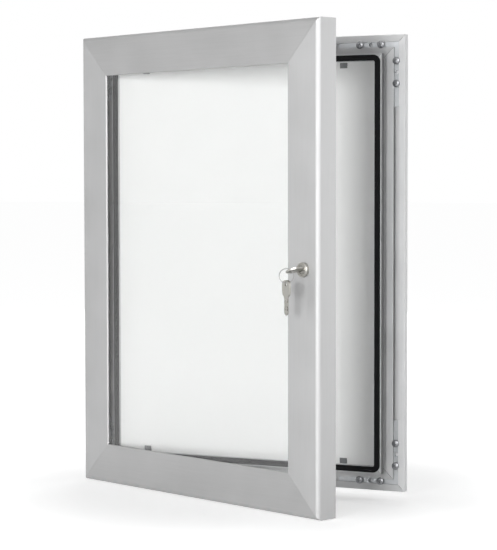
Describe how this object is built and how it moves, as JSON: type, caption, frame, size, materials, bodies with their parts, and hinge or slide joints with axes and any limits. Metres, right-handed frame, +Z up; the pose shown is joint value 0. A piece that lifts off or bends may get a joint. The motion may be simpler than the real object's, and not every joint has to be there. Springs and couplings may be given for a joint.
{
  "type": "lockable notice board",
  "caption": "Shallow wall notice board: a sealed back panel in a slotted frame, behind a glazed door hinged at one side and locked by a cam lock with its keys on a ring.",
  "frame": {"origin": "on the wall plane, midway between the two upper wall fixing holes: the middle of the top rail's rear face", "axes": "+Z up, +Y into the wall, so the front faces -Y, and +X to the right as seen from the front; the hinge is at -X"},
  "size_m": [0.3788, 0.1867, 0.5],
  "materials": {
    "anodised": "satin silver anodised, with a faint grain along each length",
    "panel": "plain white sheet",
    "seal": "matt black foam rubber",
    "zinc": "bright zinc plated",
    "steel": "plain steel",
    "nickel": "nickel plated, slightly dulled by handling",
    "clip": "dark grey moulded plastic",
    "clear": "clear polished acrylic sheet"
  },
  "bodies": {
    "back_unit": {"frame_rail_bottom": "anodised", "frame_rail_right": "anodised", "frame_rail_top": "anodised", "frame_rail_left": "anodised", "back_panel": "panel", "door_seal": "seal", "frame_bracket_bottom_left": "zinc", "frame_bracket_bottom_right": "zinc", "frame_bracket_top_right": "zinc", "frame_bracket_top_left": "zinc", "bracket_screw_bottom_left_1": "zinc", "bracket_screw_bottom_left_2": "zinc", "bracket_screw_bottom_left_3": "zinc", "bracket_screw_bottom_left_4": "zinc", "bracket_screw_bottom_right_1": "zinc", "bracket_screw_bottom_right_2": "zinc", "bracket_screw_bottom_right_3": "zinc", "bracket_screw_bottom_right_4": "zinc", "bracket_screw_top_right_1": "zinc", "bracket_screw_top_right_2": "zinc", "bracket_screw_top_right_3": "zinc", "bracket_screw_top_right_4": "zinc", "bracket_screw_top_left_1": "zinc", "bracket_screw_top_left_2": "zinc", "bracket_screw_top_left_3": "zinc", "bracket_screw_top_left_4": "zinc", "poster_clip_bottom_left": "clip", "poster_clip_bottom_right": "clip", "poster_clip_top_right": "clip", "poster_clip_top_left": "clip", "hinge_leaf_frame": "steel", "hinge_pin": "steel", "hinge_screw_frame_1": "zinc", "hinge_screw_frame_2": "zinc", "hinge_screw_frame_3": "zinc", "hinge_screw_frame_4": "zinc"},
    "door": {"door_rail_bottom": "anodised", "lock_stile": "anodised", "door_rail_top": "anodised", "hinge_stile": "anodised", "door_cleat_bottom_left": "zinc", "door_cleat_bottom_right": "zinc", "door_cleat_top_right": "zinc", "door_cleat_top_left": "zinc", "glazing": "clear", "hinge_leaf_door": "steel", "hinge_screw_door_1": "zinc", "hinge_screw_door_2": "zinc", "hinge_screw_door_3": "zinc", "hinge_screw_door_4": "zinc", "lock_housing": "nickel", "lock_nut": "zinc"},
    "lock_barrel": {"lock_plug": "nickel", "lock_cam": "steel", "cam_screw": "zinc"},
    "key": {"key": "nickel"},
    "ring": {"key_ring": "steel"},
    "spare": {"spare_key": "nickel"}
  },
  "joints": [
    {"name": "door_hinge", "type": "hinge", "parent": "back_unit", "child": "door", "pos_m": [-0.185, -0.0048, -0.233], "axis": [0, 0, -1], "range_deg": [-22, 68]},
    {"name": "lock_turn", "type": "hinge", "parent": "door", "child": "lock_barrel", "pos_m": [0.14409, -0.13259, -0.233], "axis": [0.3746, 0.9272, 0], "range_deg": [-70, 20]},
    {"name": "key_pull", "type": "slide", "parent": "lock_barrel", "child": "key", "axis": [-0.3746, -0.9272, 0], "range_m": [0, 0.02]},
    {"name": "ring_swivel", "type": "hinge", "parent": "key", "child": "ring", "pos_m": [0.12506, -0.17969, -0.233], "axis": [0, 0, 1], "range_deg": [-40, 10]},
    {"name": "spare_key_swing", "type": "hinge", "parent": "ring", "child": "spare", "pos_m": [0.1208, -0.18149, -0.24572], "axis": [-0.9205, -0.3907, 0], "range_deg": [-30, 30]}
  ]
}
